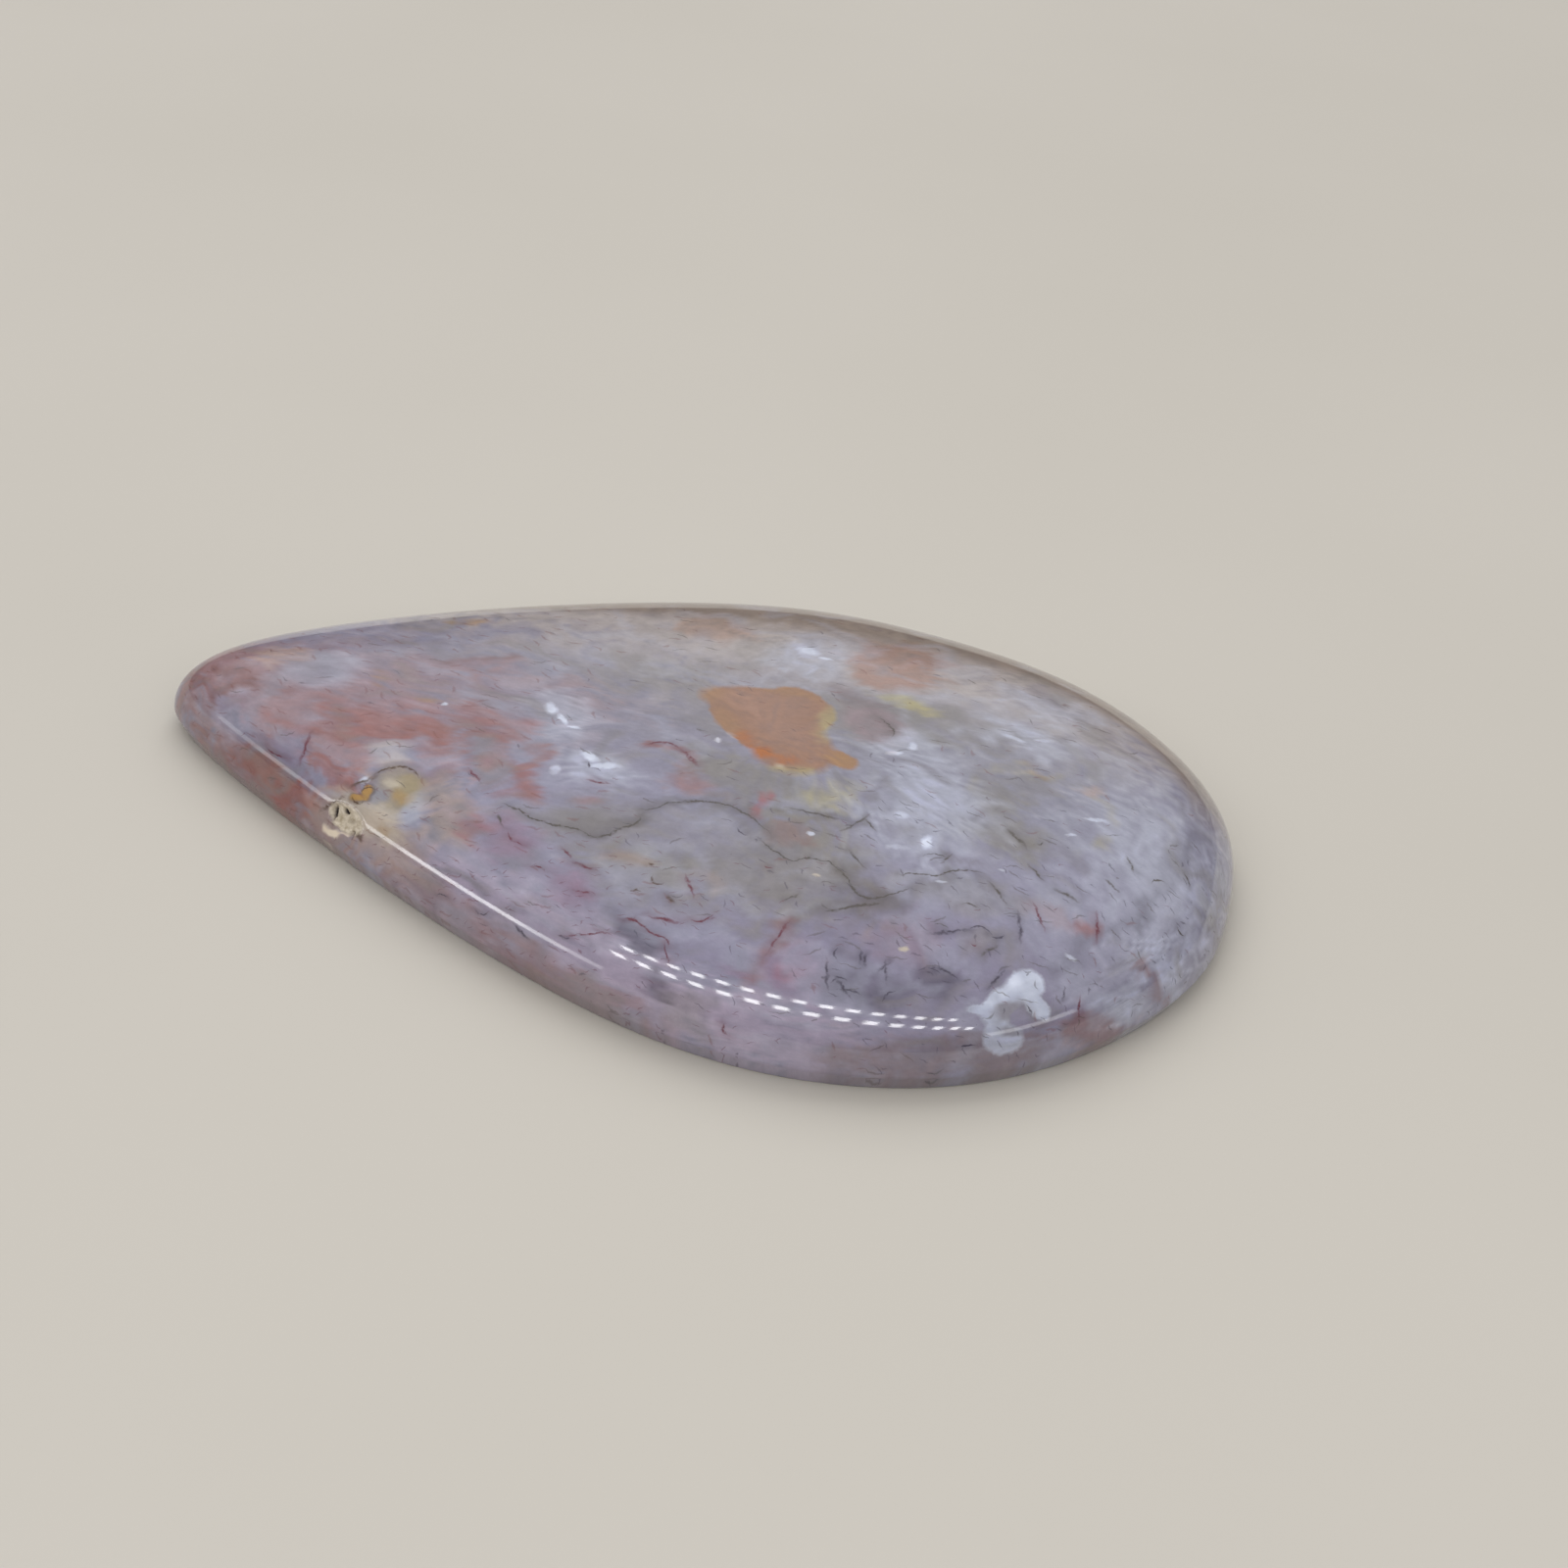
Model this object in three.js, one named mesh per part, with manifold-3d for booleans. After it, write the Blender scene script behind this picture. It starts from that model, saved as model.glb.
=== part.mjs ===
// A pear-shaped moss agate cabochon: one polished stone with a flat back and a low dome.
// Millimetres. +X runs from the narrow tip to the round end, +Z is up, and the back lies on z = 0.
import * as THREE from "three";
import { mergeVertices } from "three/addons/utils/BufferGeometryUtils.js";
import Module from "manifold-3d";

// Driving dimensions of the stone.
const LENGTH = 45;
const WIDTH = 29.4;
const THICKNESS = 5.2;
const GIRDLE_HEIGHT = 0.8; // the widest line of the stone, above its back
const BACK_BEVEL = 0.35; // how far the ground bevel runs in under the girdle
const CROWN_RISE = 0.8; // height of the shallow dome that spans the whole top
const SHOULDER_POWER = 7; // 2 would be a plain round dome, more keeps the top flat and the shoulder tight
const SUMMIT_X = 3; // the highest point lies towards the round end

// The hand-cut outline, as the control points of a closed cubic B-spline.
// They run counter-clockwise from the middle of the round end. The two flanks differ a little.
const OUTLINE_CONTROL = [
  [22.5, 0.0],
  [22.7, 5.9],
  [17.0, 12.5],
  [9.1, 14.4],
  [0.7, 15.0],
  [-12.4, 9.0],
  [-21.0, 2.9],
  [-23.2, -0.3],
  [-21.1, -2.7],
  [-12.0, -8.3],
  [0.8, -14.8],
  [9.2, -15.2],
  [16.4, -12.2],
  [21.9, -5.2],
];

// The open vug: a small natural hollow that the polishing left on the near shoulder.
const VUG_CENTRE = [-11.95, -7.7, 2.35];
const VUG_RADII = [0.8, 0.5, 0.62]; // along the shoulder, across it, and down into the stone
const VUG_TURN = -26; // degrees about +Z, so that it follows the flank
const VUG_LUMPS = 0.16; // how uneven its wall is, as a share of its radius

// How finely the curved surfaces are cut into flat facets.
const STEPS_PER_SPAN = 8;
const SHOULDER_RINGS = 10;
const SHOULDER_END = 80; // degrees round the shoulder's curve, where the flatter crown takes over
const CROWN_RINGS = 5;
const VUG_DETAIL = 4;

const AGATE_COLOUR = 0x98929f;
const AGATE_ROUGHNESS = 0.1;

// One point of a closed uniform cubic B-spline, t from 0 to 1 along the given span.
function splinePoint(control, span, t) {
  const weights = [
    (1 - t) ** 3 / 6,
    (3 * t ** 3 - 6 * t ** 2 + 4) / 6,
    (-3 * t ** 3 + 3 * t ** 2 + 3 * t + 1) / 6,
    t ** 3 / 6,
  ];
  const point = new THREE.Vector2();
  weights.forEach((weight, k) => {
    const [x, y] = control[(span + k) % control.length];
    point.x += weight * x;
    point.y += weight * y;
  });
  return point;
}

// The outline at the girdle, centred on the origin and brought to the full length and width.
function girdleOutline() {
  const points = [];
  for (let span = 0; span < OUTLINE_CONTROL.length; span++)
    for (let step = 0; step < STEPS_PER_SPAN; step++)
      points.push(splinePoint(OUTLINE_CONTROL, span, step / STEPS_PER_SPAN));
  const box = new THREE.Box2().setFromPoints(points);
  const centre = box.getCenter(new THREE.Vector2());
  const size = box.getSize(new THREE.Vector2());
  const scale = new THREE.Vector2(LENGTH / size.x, WIDTH / size.y);
  return points.map((point) => point.sub(centre).multiply(scale));
}

// The same outline moved inwards by a distance, square to the edge.
function insetOutline(outline, distance) {
  const count = outline.length;
  return outline.map((point, i) => {
    const before = outline[(i + count - 1) % count];
    const after = outline[(i + 1) % count];
    const along = after.clone().sub(before).normalize();
    return new THREE.Vector2(point.x - along.y * distance, point.y + along.x * distance);
  });
}

// The stations of the dome from the girdle to the summit: how wide and how high each ring is.
function domeStations() {
  const shoulderHeight = THICKNESS - GIRDLE_HEIGHT - CROWN_RISE;
  const heightAt = (share) =>
    GIRDLE_HEIGHT +
    shoulderHeight * Math.sqrt(1 - share ** SHOULDER_POWER) +
    CROWN_RISE * (1 - share ** 2);
  const shareAt = (degrees) =>
    Math.cos(THREE.MathUtils.degToRad(degrees)) ** (2 / SHOULDER_POWER);
  const shares = [];
  for (let i = 0; i <= SHOULDER_RINGS; i++)
    shares.push(shareAt((SHOULDER_END * i) / SHOULDER_RINGS));
  const shoulderEnd = shareAt(SHOULDER_END);
  for (let i = 1; i < CROWN_RINGS; i++) shares.push(shoulderEnd * (1 - i / CROWN_RINGS));
  return shares.map((share) => ({ share, height: heightAt(share) }));
}

// The whole stone as one closed skin of rings, with a middle point below and one on top.
function stoneGeometry() {
  const outline = girdleOutline();
  const count = outline.length;
  const vertices = [0, 0, 0];
  const addRing = (ring, z) => ring.forEach(({ x, y }) => vertices.push(x, y, z));
  addRing(insetOutline(outline, BACK_BEVEL), 0);
  const stations = domeStations();
  const summit = new THREE.Vector2(SUMMIT_X, 0);
  for (const { share, height } of stations)
    addRing(
      outline.map((point) => summit.clone().lerp(point, share)),
      height,
    );
  vertices.push(summit.x, summit.y, THICKNESS);

  const faces = [];
  const ringCount = stations.length + 1;
  const top = vertices.length / 3 - 1;
  const at = (ring, i) => 1 + ring * count + (i % count);
  for (let i = 0; i < count; i++) {
    faces.push(0, at(0, i + 1), at(0, i));
    for (let ring = 0; ring < ringCount - 1; ring++) {
      faces.push(at(ring, i), at(ring, i + 1), at(ring + 1, i + 1));
      faces.push(at(ring, i), at(ring + 1, i + 1), at(ring + 1, i));
    }
    faces.push(at(ringCount - 1, i), at(ringCount - 1, i + 1), top);
  }
  return closedGeometry(vertices, faces);
}

function closedGeometry(vertices, faces) {
  const geometry = new THREE.BufferGeometry();
  geometry.setAttribute("position", new THREE.Float32BufferAttribute(vertices, 3));
  geometry.setIndex(Array.from(faces));
  return geometry;
}

// The lumpy space of the vug, as a ball pushed in and out by a few slow waves.
function vugGeometry() {
  const ball = new THREE.IcosahedronGeometry(1, VUG_DETAIL);
  ball.deleteAttribute("normal");
  ball.deleteAttribute("uv");
  const geometry = mergeVertices(ball);
  const place = geometry.attributes.position;
  const point = new THREE.Vector3();
  for (let i = 0; i < place.count; i++) {
    point.fromBufferAttribute(place, i);
    const wave = Math.sin(4 * point.x + 1) + Math.sin(5 * point.y + 3 * point.z) + Math.cos(6 * point.z);
    point.multiplyScalar(1 + (VUG_LUMPS * wave) / 3);
    place.setXYZ(i, point.x, point.y, point.z);
  }
  geometry.scale(...VUG_RADII);
  geometry.rotateZ(THREE.MathUtils.degToRad(VUG_TURN));
  geometry.translate(...VUG_CENTRE);
  return geometry;
}

function toSolid(wasm, geometry) {
  return new wasm.Manifold(
    new wasm.Mesh({
      numProp: 3,
      vertProperties: new Float32Array(geometry.attributes.position.array),
      triVerts: new Uint32Array(geometry.index.array),
    }),
  );
}

function toGeometry(solid) {
  const { vertProperties, triVerts } = solid.getMesh();
  const geometry = closedGeometry(vertProperties, triVerts);
  geometry.computeVertexNormals();
  return geometry;
}

const wasm = await Module();
wasm.setup();

const agate = new THREE.MeshStandardMaterial({
  color: AGATE_COLOUR,
  roughness: AGATE_ROUGHNESS,
  metalness: 0,
});

const stone = toSolid(wasm, stoneGeometry());
const vug = toSolid(wasm, vugGeometry());
const cabochon = new THREE.Mesh(toGeometry(stone.subtract(vug)), agate);
cabochon.name = "cabochon";

const group = new THREE.Group();
group.name = "moss_agate_cabochon";
group.add(cabochon);

export default group;
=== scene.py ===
"""A polished moss agate cabochon, lying on a pale floor in soft studio light."""
import math
from functools import partial

import bpy
import numpy as np
from mathutils import Matrix, Vector, noise


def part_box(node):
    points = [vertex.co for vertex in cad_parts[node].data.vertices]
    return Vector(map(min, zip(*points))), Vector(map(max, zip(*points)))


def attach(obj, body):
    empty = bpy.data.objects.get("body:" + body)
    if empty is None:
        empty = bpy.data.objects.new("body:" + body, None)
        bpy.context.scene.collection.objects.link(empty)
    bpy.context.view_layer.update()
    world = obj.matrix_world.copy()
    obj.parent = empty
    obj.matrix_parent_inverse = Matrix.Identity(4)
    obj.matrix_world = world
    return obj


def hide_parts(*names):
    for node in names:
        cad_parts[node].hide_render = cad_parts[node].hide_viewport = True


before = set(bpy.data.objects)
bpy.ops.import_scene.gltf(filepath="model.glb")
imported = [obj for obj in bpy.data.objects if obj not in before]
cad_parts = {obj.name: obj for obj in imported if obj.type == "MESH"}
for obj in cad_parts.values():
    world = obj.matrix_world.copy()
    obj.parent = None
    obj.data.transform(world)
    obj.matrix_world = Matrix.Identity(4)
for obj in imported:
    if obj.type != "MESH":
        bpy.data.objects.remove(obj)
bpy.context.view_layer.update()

MM = 0.001

# The stone's size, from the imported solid, in millimetres.
LOW, HIGH = (np.array(corner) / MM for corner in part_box("cabochon"))
LENGTH, WIDTH, THICKNESS = HIGH - LOW

# The same hand-cut form as the solid: B-spline outline, ground bevel, wall, shoulder and crown.
OUTLINE_CONTROL = np.array([
    (22.5, 0), (22.7, 5.9), (17, 12.5), (9.1, 14.4), (0.7, 15), (-12.4, 9), (-21, 2.9),
    (-23.2, -0.3), (-21.1, -2.7), (-12, -8.3), (0.8, -14.8), (9.2, -15.2), (16.4, -12.2), (21.9, -5.2),
])
GIRDLE_HEIGHT = 0.8
BACK_BEVEL = 0.35
CROWN_RISE = 0.8
SHOULDER_POWER = 7
SUMMIT = np.array((3.0, 0.0))
EDGE_SOFTNESS = 0.1  # how far each worn edge of the bevel is rounded off

# How finely the surface is cut, with finer lines through the vug.
OUTLINE_LINES = 450
PROFILE_LINES = 150
BACK_RINGS = 32
VUG_FINENESS = 7.0
VUG_SPAN = 0.28  # how far the finer lines reach along the outline, in spline spans
SAMPLES = 4000  # how finely a curve is measured before lines are placed along it

# The vug on the near shoulder: its middle, and a broad dip with narrow pits in it.
# Each pit has its place along the shoulder and up it, its two radii, its depth and its turn in degrees.
VUG_CENTRE = np.array((-11.95, -7.65, 2.2))
VUG_REACH = 1.5
PITS = [
    (-0.1, 0, 0.85, 0.42, 0.1, 0),
    (-0.7, -0.12, 0.14, 0.36, 0.42, 12),
    (-0.22, 0.22, 0.16, 0.14, 0.42, 0),
    (0.55, -0.46, 0.12, 0.2, 0.3, -14),
    (0.2, -0.08, 0.3, 0.16, 0.08, 20),
    (-0.5, 0.02, 0.07, 0.28, -0.06, 8),
    (-0.62, -0.52, 0.26, 0.1, -0.06, 0),
]
CRUST_SIZE = (1.15, 0.62)
CRUST_RISE = -0.05
CRUST_ROUGHNESS = 0.035

UNROLL = 0.8  # how far outwards the skin's pattern is unrolled, for each millimetre below the summit
# The brown band on the far shoulder is a painted reflection of the dark horizon, not a colour of the stone.
REFLECTION_BAND_CURVE = 0.0036  # how much lower the far edge's brown band lies towards both ends


def spline_points(control, stations):
    """Points of a closed uniform cubic B-spline at stations from 0 to the number of control points."""
    count = len(control)
    span = np.floor(stations).astype(int)
    t = (stations - span)[:, None]
    middle = (3 * t**3 - 6 * t**2 + 4) / 6, (-3 * t**3 + 3 * t**2 + 3 * t + 1) / 6
    weights = ((1 - t) ** 3 / 6, *middle, t**3 / 6)
    return sum(weight * control[(span + k) % count] for k, weight in enumerate(weights))


def girdle_outline(stations):
    """The outline at the girdle, brought to the solid's length and width, and its inward normals."""
    dense = spline_points(OUTLINE_CONTROL, np.linspace(0, len(OUTLINE_CONTROL), SAMPLES, endpoint=False))
    low, high = dense.min(0), dense.max(0)
    scale = np.array((LENGTH, WIDTH)) / (high - low)
    points = (spline_points(OUTLINE_CONTROL, stations) - (low + high) / 2) * scale
    step = 1e-3
    ahead = spline_points(OUTLINE_CONTROL, stations + step) - spline_points(OUTLINE_CONTROL, stations)
    along = ahead * scale
    along /= np.linalg.norm(along, axis=1)[:, None]
    return points, np.stack([-along[:, 1], along[:, 0]], 1)


def crowded(low, high, count, place, reach):
    """Values from low to high that stand closer together near a place."""
    fine = np.linspace(low, high, SAMPLES)
    density = 1 + (VUG_FINENESS - 1) * np.exp(-(((fine - place) / reach) ** 4))
    total = np.concatenate([[0], np.cumsum((density[1:] + density[:-1]) / 2)])
    return np.interp(np.linspace(0, total[-1], count), total, fine)


def dome_height(share):
    """Height of the dome where the outline has shrunk to this share of the girdle."""
    shoulder = THICKNESS - GIRDLE_HEIGHT - CROWN_RISE
    return GIRDLE_HEIGHT + shoulder * np.sqrt(1 - share**SHOULDER_POWER) + CROWN_RISE * (1 - share**2)


def dome_shares():
    """Shares of the girdle for the rings, even along the profile but crowded at the vug's height."""
    typical_radius = 14.0
    angle = np.linspace(math.asin(EDGE_SOFTNESS / THICKNESS), math.pi / 2, SAMPLES)
    share = np.cos(angle) ** (2 / SHOULDER_POWER)
    share[-1] = 0
    share = np.sort(np.concatenate([share, np.linspace(0, 0.5, 500)]))[::-1]
    height = dome_height(share)
    run = np.hypot(np.diff(share) * typical_radius, np.diff(height))
    run = np.concatenate([[0], np.cumsum(run)])
    vug_run = np.interp(VUG_CENTRE[2], height, run)
    return np.interp(crowded(0, run[-1], PROFILE_LINES, vug_run, VUG_REACH), run, share)[:-1]


def rounded(before, corner, after, steps=4):
    """A corner of the profile, rounded as a short curve from a point before it to a point after it."""
    t = np.linspace(0, 1, steps + 1)[:, None]
    return (1 - t) ** 2 * before + 2 * t * (1 - t) * corner + t**2 * after


def stone_rings():
    """All rings of the stone from the middle of its back to the summit, as one array of points."""
    spans = len(OUTLINE_CONTROL)
    probe = np.linspace(0, spans, SAMPLES, endpoint=False)
    points, _ = girdle_outline(probe)
    towards = VUG_CENTRE[:2] - SUMMIT
    offset = points - SUMMIT
    turn = np.arctan2(offset[:, 0] * towards[1] - offset[:, 1] * towards[0], offset @ towards)
    vug_station = probe[np.argmin(np.abs(turn))]
    stations = crowded(0, spans, OUTLINE_LINES + 1, vug_station, VUG_SPAN)[:-1]
    outline, inward = girdle_outline(stations)

    bevel = np.array((-BACK_BEVEL, GIRDLE_HEIGHT))
    bevel *= EDGE_SOFTNESS / np.linalg.norm(bevel)
    back_edge, girdle = np.array((BACK_BEVEL, 0.0)), np.array((0.0, GIRDLE_HEIGHT))
    lower = np.concatenate([
        rounded(back_edge + (EDGE_SOFTNESS, 0), back_edge, back_edge + bevel),
        rounded(girdle - bevel, girdle, girdle + (0, EDGE_SOFTNESS)),
    ])
    rings = []
    flat = outline + inward * (BACK_BEVEL + EDGE_SOFTNESS)
    for share in np.linspace(0, 0.99, BACK_RINGS + 1)[1:]:
        rings.append(np.column_stack([flat * share, np.zeros(len(flat))]))
    for inset, height in lower:
        rings.append(np.column_stack([outline + inward * inset, np.full(len(outline), height)]))
    for share in dome_shares()[1:]:
        ring = SUMMIT + (outline - SUMMIT) * share
        rings.append(np.column_stack([ring, np.full(len(ring), dome_height(share))]))
    return np.array(rings)


def vertex_normals(rings):
    """Outward normals of the ring surface, from its two grid directions."""
    around = np.roll(rings, -1, axis=1) - np.roll(rings, 1, axis=1)
    upwards = np.gradient(rings, axis=0)
    normals = np.cross(around, upwards)
    return normals / (np.linalg.norm(normals, axis=2)[:, :, None] + 1e-12)


def open_vug(rings):
    """Presses the vug's dip, pits and crust into the surface round its middle.

    Returns how hollow and how crusted each point is.
    """
    normals = vertex_normals(rings)
    hollow, crusted = np.zeros(rings.shape[:2]), np.zeros(rings.shape[:2])
    reach = np.linalg.norm(rings - VUG_CENTRE, axis=2)
    nearest = np.unravel_index(np.argmin(reach), reach.shape)
    middle, out = rings[nearest], normals[nearest]
    along = np.cross((0, 0, 1), out)
    along /= np.linalg.norm(along)
    up = np.cross(out, along)
    for i, j in np.argwhere(reach < VUG_REACH * 1.3):
        offset = rings[i, j] - middle
        a, b = offset @ along, offset @ up
        depth = 0.0
        for place_a, place_b, radius_a, radius_b, pit, turn in PITS:
            c, s = math.cos(math.radians(turn)), math.sin(math.radians(turn))
            da, db = a - place_a, b - place_b
            wobble = 0.25 * noise.noise(Vector((a * 5, b * 5, 1.7)))
            share = math.hypot((da * c + db * s) / radius_a, (db * c - da * s) / radius_b) + wobble
            depth += pit * max(0.0, 1 - share**2) ** 0.6 if pit > 0 else pit * max(0.0, 1 - share) ** 0.8
        crust = max(0.0, 1 - math.hypot(a / CRUST_SIZE[0], (b - CRUST_RISE) / CRUST_SIZE[1]) ** 3)
        grain = noise.fractal(Vector((a * 7, b * 7, 0.3)), 0.9, 2.1, 4)
        hollow[i, j], crusted[i, j] = max(0.0, depth), crust
        depth += crust * CRUST_ROUGHNESS * (1 + grain)
        rings[i, j] -= normals[i, j] * max(0.0, depth)
    return hollow, crusted


def skin_places(rings):
    """Flat millimetre coordinates over the stone's skin, with the shoulder and the wall unrolled outwards.

    The back gets the same pattern, shifted and bent, as the other face of a real slab has.
    Returns the places, how far each belongs to the back, and how far to the painted reflection, a brown
    band on the far shoulder where the dark horizon would mirror.
    """
    points = np.concatenate([[(0, 0, 0)], rings.reshape(-1, 3), [(*SUMMIT, THICKNESS)]])
    normals = np.concatenate([[(0, 0, -1)], vertex_normals(rings).reshape(-1, 3), [(0, 0, 1)]])
    depth = THICKNESS - points[:, 2:]
    places = points[:, :2] + UNROLL * normals[:, :2] * depth
    back = np.clip((-0.55 - normals[:, 2:]) / 0.4, 0, 1)
    astray = wander(places * 0.8 + (1.6, -2.2), 1.8, 0.1, 1, 51.3)
    # Painted reflection: a brown band along the far shoulder, lower towards both ends and weaker further
    # down, stands for the dark horizon mirrored there.
    low = depth[:, 0] - REFLECTION_BAND_CURVE * (points[:, 0] - SUMMIT[0]) ** 2
    fading = 1 - 0.65 * smooth((low - 0.8) / 1.2)
    painted_reflection = smooth((low - 0.22) / 0.3) * fading * smooth((points[:, 1] - 0.5) / 5.5)
    return places + back * (astray - places), back[:, 0], painted_reflection * (1 - back[:, 0])


def build_stone():
    """The whole stone as one closed skin, with its colours stored at its points."""
    rings = stone_rings()
    places, back, painted_reflection = skin_places(rings)
    haze, patch = painted_skin(places, painted_reflection)
    hollow, crusted = open_vug(rings)
    ring_count, line_count = rings.shape[:2]
    summit = (SUMMIT[0] * MM, 0.0, THICKNESS * MM)
    vertices = [(0.0, 0.0, 0.0), *(rings.reshape(-1, 3) * MM).tolist(), summit]
    top = len(vertices) - 1

    def at(ring, line):
        return 1 + ring * line_count + line % line_count

    faces = []
    for line in range(line_count):
        faces.append((0, at(0, line + 1), at(0, line)))
        for ring in range(ring_count - 1):
            lower = at(ring, line), at(ring, line + 1)
            faces.append((*lower, at(ring + 1, line + 1), at(ring + 1, line)))
        faces.append((at(ring_count - 1, line), at(ring_count - 1, line + 1), top))
    mesh = new_mesh("agate_stone", vertices, faces)
    mesh.shade_smooth()
    add_layer(mesh, "skin", np.column_stack([places, np.zeros(len(places))]))
    add_layer(mesh, "back", back)
    add_layer(mesh, "haze", haze)
    add_layer(mesh, "patch", patch)
    add_layer(mesh, "hollow", np.concatenate([[0], hollow.ravel(), [0]]))
    add_layer(mesh, "crust", np.concatenate([[0], crusted.ravel(), [0]]))
    return add_object("agate_stone", mesh)


def add_layer(mesh, name, values):
    """Stores a value, or three, at each point of the mesh, for the shader to read."""
    kind, field_name = ("FLOAT_VECTOR", "vector") if values.ndim == 2 else ("FLOAT", "value")
    layer = mesh.attributes.new(name, kind, "POINT")
    layer.data.foreach_set(field_name, values.ravel())


def add_object(name, data):
    """Puts an object with this data into the scene."""
    added = bpy.data.objects.new(name, data)
    bpy.context.scene.collection.objects.link(added)
    return added


def new_mesh(name, vertices, faces):
    mesh = bpy.data.meshes.new(name)
    mesh.from_pydata([tuple(vertex) for vertex in vertices], [], faces)
    return mesh


def colour(red, green, blue):
    """A linear colour with alpha, from screen values of 0 to 255."""
    def linear(value):
        share = value / 255
        return share / 12.92 if share <= 0.04045 else ((share + 0.055) / 1.055) ** 2.4

    return (linear(red), linear(green), linear(blue), 1.0)


def smooth(values):
    """A smooth step from 0 at 0 to 1 at 1."""
    held = np.clip(values, 0, 1)
    return held**2 * (3 - 2 * held)


def cloudiness(places, scale, octaves, seed):
    """A smooth random value at each place, mostly between -1 and 1."""
    values = [noise.fractal((x * scale, y * scale, seed), 1.0, 2.0, octaves) for x, y in places]
    return np.array(values) * 1.6


def wander(places, amount, scale, octaves, seed):
    """Places pushed about, so that shapes painted on them get a natural edge."""
    push = [cloudiness(places, scale, octaves, seed + shift) for shift in (0.0, 17.0)]
    return places + amount * np.column_stack(push)


def stretched(places, turn, length):
    """Places squeezed along a direction, so that random values over them form streaks that way."""
    c, s = math.cos(math.radians(turn)), math.sin(math.radians(turn))
    return np.column_stack([(places @ (c, s)) / length, places @ (-s, c)])


def blended(base, mask, tint):
    """Colours with a tint laid over them as far as the mask says."""
    return base + mask[:, None] * (np.array(colour(*PALETTE[tint])[:3]) - base)


def painted(base, places, ragged, rows):
    """Paints a table of soft ellipses over the colours. Ragged values roughen their edges and insides."""
    for tint, x, y, length, width, turn, softness, strength in rows:
        reach = np.hypot(*(stretched(places - (x, y), turn, 1.0) / (length, width)).T)
        edge = 1.3 * softness
        mask = smooth(0.5 + (1 - reach) / edge + ragged) * np.clip(1 + ragged, 0, 1)
        base = blended(base, mask * strength, tint)
    return base


def strokes(rows):
    """The width and the points of each stroke in a table."""
    return [(width, [(point.real, point.imag) for point in points]) for width, *points in rows]


def traced(places, points):
    """How far each place lies from a course through points."""
    nearest = np.full(len(places), np.inf)
    for start, end in zip(points[:-1], points[1:]):
        start, run = np.array(start), np.subtract(end, start)
        share = np.clip((places - start) @ run / (run @ run), 0, 1)
        nearest = np.minimum(nearest, np.linalg.norm(places - start - share[:, None] * run, axis=1))
    return nearest


def painted_skin(places, painted_reflection):
    """The stone's cloudy colour at each place, with a painted reflection on the far shoulder, and the
    colour of its crisp patches and flecks there.
    """
    soft = wander(wander(places, 0.55, 0.45, 2, 3.1), 0.22, 1.9, 2, 11.7)
    flow = stretched(wander(places, 1.1, 0.45, 2, 8.3), -8, 2.4)
    marbling = cloudiness(flow, 0.8, 4, 21.5)
    streaks = cloudiness(flow, 2.0, 3, 33.9)
    ragged = 0.26 * streaks - 0.06
    base = np.tile(colour(*PALETTE["lavender"])[:3], (len(places), 1))
    base = painted(base, soft, ragged, CLOUDS)
    for tint, strength, rows in BANDS:
        for width, points in strokes(rows):
            mask = smooth(1.2 - traced(soft, points) / width) * np.clip(1 + 1.5 * ragged, 0, 1)
            base = blended(base, strength * mask, tint)
    gentle = wander(places, 0.12, 1.6, 2, 3.1)
    for tint, rows in THREADS.items():
        for width, points in strokes(rows):
            mask = smooth(1.0 - traced(gentle, points) / (width * HALO_REACH))
            base = blended(base, HALO_STRENGTH * mask, tint)
    # Painted reflection: the brown band of the dark horizon along the far shoulder.
    base = blended(base, painted_reflection * 0.7, "edge")
    base = blended(base, 0.26 * smooth(marbling), "cloud")
    base = blended(base, 0.38 * smooth(-marbling - 0.1), "olive")
    base = base * (1 + 0.09 * streaks + 0.07 * cloudiness(places, 1.6, 3, 47.2))[:, None]
    base = painted(base, gentle, 0.3 * ragged, VUG_TINTS)

    patch = painted(base, gentle, 0.5 * ragged, PATCH_TINTS)
    for tint, x, y, length, width, turn, strength in FLECKS:
        room = FLECK_ROOM + 1.5 * min(length, width)
        spot = (tint, x, y, length + room, width + room, turn, 0.3, strength)
        patch = painted(patch, places, 0 * ragged, [spot])
    return np.maximum(base, 0), patch * (1 + 0.1 * streaks)[:, None]


# Colours as they look on the polished stone, as screen values of 0 to 255.
PALETTE = {
    "lavender": (147, 145, 166), "violet": (134, 128, 152), "slate": (140, 142, 156),
    "grey": (139, 136, 147), "ash": (184, 176, 172), "mauve": (150, 130, 138), "blush": (154, 122, 124),
    # edge is the brown of the painted reflection on the far shoulder, not a colour of the stone.
    "edge": (132, 116, 102), "lilac": (172, 160, 180), "dusk": (126, 112, 118), "rosewood": (130, 96, 94),
    "cloud": (180, 184, 201), "snow": (210, 215, 228), "shell": (182, 188, 204), "olive": (132, 128, 124),
    "straw": (172, 164, 122), "gold": (176, 138, 78), "cream": (200, 190, 172), "sand": (160, 147, 118),
    "chalk": (228, 218, 202), "peach": (174, 152, 142), "clay": (163, 134, 124),
    "terracotta": (156, 118, 95), "ochre": (164, 130, 88), "amber": (180, 108, 54), "rose": (149, 106, 103),
    "brick": (142, 82, 76), "crimson": (164, 78, 92), "magenta": (146, 104, 128), "wine": (104, 48, 62),
    "rust": (118, 66, 60), "moss": (84, 78, 74), "soot": (70, 64, 80), "umber": (84, 64, 52),
    # ink is the near black of the painted shade in the vug's pits.
    "ink": (52, 42, 44),
}

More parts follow.
